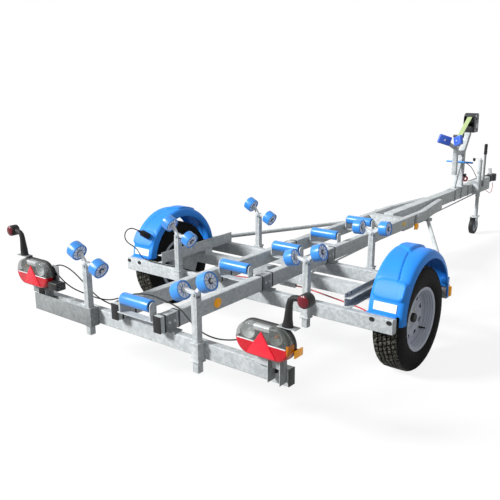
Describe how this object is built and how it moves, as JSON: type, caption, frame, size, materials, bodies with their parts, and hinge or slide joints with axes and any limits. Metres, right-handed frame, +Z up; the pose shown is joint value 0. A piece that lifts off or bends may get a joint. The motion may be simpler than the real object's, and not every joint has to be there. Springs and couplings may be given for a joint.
{
  "type": "boat trailer",
  "caption": "Galvanised single-axle boat trailer with blue keel and side rollers, mudguards, lamps, winch post, overrun coupling and jockey wheel.",
  "frame": {"origin": "on the ground under the middle of the trailer's length and width", "axes": "+Y forward to the coupling, +X to the right, +Z up"},
  "size_m": [2.036, 5.2645, 1.19],
  "materials": {
    "galvanised": "spangled zinc, satin",
    "silver": "silver paint, satin",
    "dark_metal": "dark grey, satin",
    "blue_roller": "smooth blue polyurethane",
    "blue_guard": "moulded blue plastic",
    "tyre": "matt rubber",
    "black_rubber": "matt rubber",
    "black_plastic": "black plastic",
    "lens": "clear red and grey lens",
    "amber": "amber reflector",
    "strap": "woven webbing",
    "red_sleeve": "red cable sleeve"
  },
  "bodies": {
    "frame": {"axle": "galvanised", "bellows": "black_rubber", "bow_pads": "blue_roller", "braces": "galvanised", "brake_cables": "red_sleeve", "brake_linkage": "galvanised", "coupling_head": "dark_metal", "cross_beams": "galvanised", "drawbar": "galvanised", "drawbar_ties": "galvanised", "end_caps": "black_plastic", "handbrake_lever": "galvanised", "jockey_tube": "galvanised", "keel_cradles": "galvanised", "lamp_bodies": "black_plastic", "lamp_lenses": "lens", "lamp_plates": "galvanised", "lead_cross": "black_rubber", "lead_left": "black_rubber", "lead_plug": "black_rubber", "marker_stalks": "black_rubber", "mudguards": "blue_guard", "number_lamp": "black_plastic", "overrun_housing": "galvanised", "post_clamps": "galvanised", "rail_angles": "galvanised", "rails": "galvanised", "reflectors": "amber", "roller_posts": "galvanised", "side_channels": "galvanised", "trailer_plug": "black_plastic", "winch_frame": "dark_metal", "winch_post": "galvanised", "winch_strap": "strap"},
    "wheel_left": {"tyre_left": "tyre", "rim_left": "silver"},
    "wheel_right": {"tyre_right": "tyre", "rim_right": "silver"},
    "keel_roller_1": {"keel_roller_1": "blue_roller"},
    "keel_roller_2": {"keel_roller_2": "blue_roller"},
    "keel_roller_3": {"keel_roller_3": "blue_roller"},
    "keel_roller_4": {"keel_roller_4": "blue_roller"},
    "keel_roller_5": {"keel_roller_5": "blue_roller"},
    "rocker_rear_left": {"rocker_rear_left": "galvanised"},
    "side_wheels_rear_left": {"side_wheels_rear_left": "blue_roller"},
    "rocker_rear_right": {"rocker_rear_right": "galvanised"},
    "side_wheels_rear_right": {"side_wheels_rear_right": "blue_roller"},
    "rocker_mid_left": {"rocker_mid_left": "galvanised"},
    "side_wheels_mid_left": {"side_wheels_mid_left": "blue_roller"},
    "rocker_mid_right": {"rocker_mid_right": "galvanised"},
    "side_wheels_mid_right": {"side_wheels_mid_right": "blue_roller"},
    "rocker_front_left": {"rocker_front_left": "galvanised"},
    "side_wheels_front_left": {"side_wheels_front_left": "blue_roller"},
    "rocker_front_right": {"rocker_front_right": "galvanised"},
    "side_wheels_front_right": {"side_wheels_front_right": "blue_roller"},
    "winch_drum": {"winch_drum": "galvanised"},
    "jockey_leg": {"jockey_leg": "galvanised"},
    "jockey_fork": {"jockey_fork": "galvanised"},
    "jockey_wheel": {"jockey_wheel": "black_rubber"}
  },
  "joints": [
    {"name": "wheel_left_spin", "type": "hinge", "parent": "frame", "child": "wheel_left", "pos_m": [-0.902, -1.41775, 0.2945], "axis": [1, 0, 0], "continuous": true},
    {"name": "wheel_right_spin", "type": "hinge", "parent": "frame", "child": "wheel_right", "pos_m": [0.902, -1.41775, 0.2945], "axis": [1, 0, 0], "continuous": true},
    {"name": "keel_roller_1_spin", "type": "hinge", "parent": "frame", "child": "keel_roller_1", "pos_m": [0, -2.57775, 0.515], "axis": [1, 0, 0], "continuous": true},
    {"name": "keel_roller_2_spin", "type": "hinge", "parent": "frame", "child": "keel_roller_2", "pos_m": [0, -1.81275, 0.515], "axis": [1, 0, 0], "continuous": true},
    {"name": "keel_roller_3_spin", "type": "hinge", "parent": "frame", "child": "keel_roller_3", "pos_m": [0, -1.29275, 0.515], "axis": [1, 0, 0], "continuous": true},
    {"name": "keel_roller_4_spin", "type": "hinge", "parent": "frame", "child": "keel_roller_4", "pos_m": [0, -0.83275, 0.515], "axis": [1, 0, 0], "continuous": true},
    {"name": "keel_roller_5_spin", "type": "hinge", "parent": "frame", "child": "keel_roller_5", "pos_m": [0, -0.34275, 0.515], "axis": [1, 0, 0], "continuous": true},
    {"name": "rocker_rear_left_swing", "type": "hinge", "parent": "frame", "child": "rocker_rear_left", "pos_m": [-0.384, -2.56875, 0.636], "axis": [0, -1, 0], "range_deg": [-8, 32]},
    {"name": "side_wheels_rear_left_spin", "type": "hinge", "parent": "rocker_rear_left", "child": "side_wheels_rear_left", "pos_m": [-0.37126, -2.56875, 0.66752], "axis": [0.9272, 0, -0.3746], "continuous": true},
    {"name": "rocker_rear_right_swing", "type": "hinge", "parent": "frame", "child": "rocker_rear_right", "pos_m": [0.384, -2.56875, 0.636], "axis": [0, 1, 0], "range_deg": [-6, 34]},
    {"name": "side_wheels_rear_right_spin", "type": "hinge", "parent": "rocker_rear_right", "child": "side_wheels_rear_right", "pos_m": [0.37017, -2.56875, 0.66706], "axis": [0.9135, 0, 0.4067], "continuous": true},
    {"name": "rocker_mid_left_swing", "type": "hinge", "parent": "frame", "child": "rocker_mid_left", "pos_m": [-0.474, -1.79275, 0.622], "axis": [0, -1, 0], "range_deg": [-4, 36]},
    {"name": "side_wheels_mid_left_spin", "type": "hinge", "parent": "rocker_mid_left", "child": "side_wheels_mid_left", "pos_m": [-0.45909, -1.79275, 0.65256], "axis": [0.8988, 0, -0.4384], "continuous": true},
    {"name": "rocker_mid_right_swing", "type": "hinge", "parent": "frame", "child": "rocker_mid_right", "pos_m": [0.474, -1.79275, 0.622], "axis": [0, 1, 0], "range_deg": [-12, 28]},
    {"name": "side_wheels_mid_right_spin", "type": "hinge", "parent": "rocker_mid_right", "child": "side_wheels_mid_right", "pos_m": [0.46349, -1.79275, 0.65434], "axis": [0.9511, 0, 0.309], "continuous": true},
    {"name": "rocker_front_left_swing", "type": "hinge", "parent": "frame", "child": "rocker_front_left", "pos_m": [-0.445, -1.00475, 0.618], "axis": [0, -1, 0], "range_deg": [-4, 36]},
    {"name": "side_wheels_front_left_spin", "type": "hinge", "parent": "rocker_front_left", "child": "side_wheels_front_left", "pos_m": [-0.4301, -1.00475, 0.64856], "axis": [0.8988, 0, -0.4384], "continuous": true},
    {"name": "rocker_front_right_swing", "type": "hinge", "parent": "frame", "child": "rocker_front_right", "pos_m": [0.445, -1.00475, 0.618], "axis": [0, 1, 0], "range_deg": [-26, 14]},
    {"name": "side_wheels_front_right_spin", "type": "hinge", "parent": "rocker_front_right", "child": "side_wheels_front_right", "pos_m": [0.44263, -1.00475, 0.65192], "axis": [0.9976, 0, 0.0698], "continuous": true},
    {"name": "winch_turn", "type": "hinge", "parent": "frame", "child": "winch_drum", "pos_m": [0, 1.82225, 1.135], "axis": [1, 0, 0], "continuous": true},
    {"name": "jockey_lift", "type": "slide", "parent": "frame", "child": "jockey_leg", "axis": [0, 0, 1], "range_m": [0, 0.19]},
    {"name": "jockey_swivel", "type": "hinge", "parent": "jockey_leg", "child": "jockey_fork", "pos_m": [0.092, 1.91225, 0.174], "axis": [0, 0, 1], "continuous": true},
    {"name": "jockey_spin", "type": "hinge", "parent": "jockey_fork", "child": "jockey_wheel", "pos_m": [0.092, 1.85725, 0.08], "axis": [1, 0, 0], "continuous": true}
  ]
}
